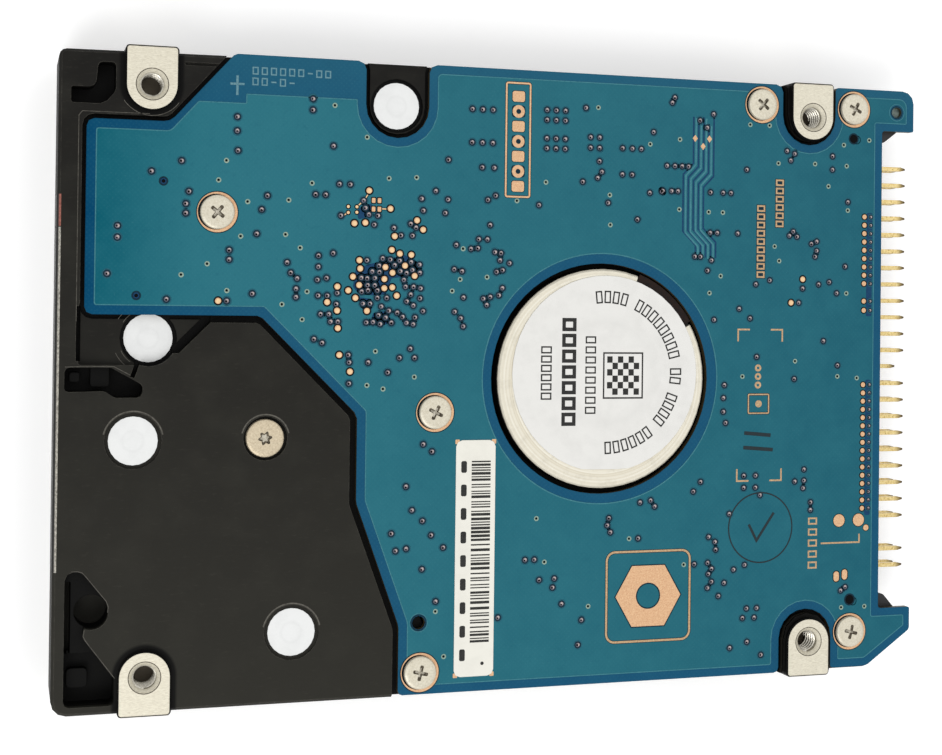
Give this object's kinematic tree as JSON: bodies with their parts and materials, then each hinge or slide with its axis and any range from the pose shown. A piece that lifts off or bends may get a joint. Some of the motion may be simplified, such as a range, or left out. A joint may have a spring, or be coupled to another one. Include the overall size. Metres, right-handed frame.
{
  "type": "hard disk drive",
  "caption": "Thin 2.5 inch hard disk drive with a parallel pin connector: black casting, teal circuit board with a round motor opening, disk, swinging head arm and sealed cover.",
  "frame": {"origin": "centre of the footprint on the cover's outer face, which lies on the floor", "axes": "+X towards the connector end, +Z out of the circuit board side, +Y across the width"},
  "size_m": [0.1, 0.0698, 0.0095],
  "materials": {
    "black_coat": "satin black coating on cast aluminium",
    "solder_mask": "teal solder mask over copper",
    "bright_steel": "fine brushed",
    "machined_alloy": "machined",
    "gold_plate": "gold plated, bright",
    "black_plastic": "moulded, matt",
    "ivory_plastic": "moulded, smooth",
    "label_paper": "coated paper label",
    "amber_film": "translucent polyimide film",
    "enamelled_copper": "enamelled wire",
    "nickel_magnet": "nickel plated",
    "disk_mirror": "mirror polished",
    "gasket_rubber": "matt",
    "filter_felt": "pressed felt"
  },
  "bodies": {
    "drive": {"base_casting": "black_coat", "top_cover": "bright_steel", "cover_gasket": "gasket_rubber", "cover_label": "label_paper", "barcode_label": "label_paper", "seal_1": "label_paper", "seal_2": "label_paper", "seal_3": "label_paper", "seal_4": "label_paper", "motor_label": "label_paper", "circuit_board": "solder_mask", "board_insulator": "amber_film", "controller_chip": "black_plastic", "motor_driver_chip": "black_plastic", "buffer_memory_chip": "black_plastic", "clock_crystal": "black_plastic", "head_connector_socket": "black_plastic", "pivot_screw": "bright_steel", "connector_housing": "black_plastic", "connector_pins": "gold_plate", "motor_base": "bright_steel", "motor_flex": "amber_film", "bearing_sleeve": "machined_alloy", "stator_core": "bright_steel", "stator_windings": "enamelled_copper", "pivot_shaft": "bright_steel", "cover_side_yoke": "bright_steel", "cover_side_magnet": "nickel_magnet", "board_side_magnet": "nickel_magnet", "board_side_yoke": "bright_steel", "crash_stop": "gasket_rubber", "load_ramp": "ivory_plastic", "flex_bracket": "bright_steel", "flex_cable": "amber_film", "breather_filter": "filter_felt", "recirculation_filter": "filter_felt", "board_screw_1": "bright_steel", "cover_screw_1": "bright_steel", "board_screw_2": "bright_steel", "cover_screw_2": "bright_steel", "board_screw_3": "bright_steel", "cover_screw_3": "bright_steel", "board_screw_4": "bright_steel", "cover_screw_4": "bright_steel", "board_screw_5": "bright_steel", "cover_screw_5": "bright_steel", "board_screw_6": "bright_steel", "cover_screw_6": "bright_steel"},
    "rotor": {"spindle_hub": "machined_alloy", "spindle_shaft": "bright_steel", "rotor_magnet": "nickel_magnet", "disk_platter": "disk_mirror", "disk_clamp": "bright_steel", "clamp_screw": "bright_steel"},
    "actuator": {"actuator_arm": "machined_alloy", "pivot_bearing": "bright_steel", "voice_coil": "enamelled_copper", "head_suspension_cover_side": "bright_steel", "head_suspension_board_side": "bright_steel"},
    "latch": {"inertia_latch": "black_plastic"}
  },
  "joints": [
    {"name": "spindle_spin", "type": "hinge", "parent": "drive", "child": "rotor", "pos_m": [0.0101, 0.00007, 0.0031], "axis": [0, 0, 1], "continuous": true},
    {"name": "head_arm_swing", "type": "hinge", "parent": "drive", "child": "actuator", "pos_m": [-0.02825, -0.00622, 0.0031], "axis": [0, 0, -1], "range_deg": [0, 42.5], "deforming": ["flex_cable"]},
    {"name": "latch_swing", "type": "hinge", "parent": "drive", "child": "latch", "pos_m": [-0.022, -0.02792, 0.0033], "axis": [0, 0, -1], "range_deg": [0, 10]}
  ]
}
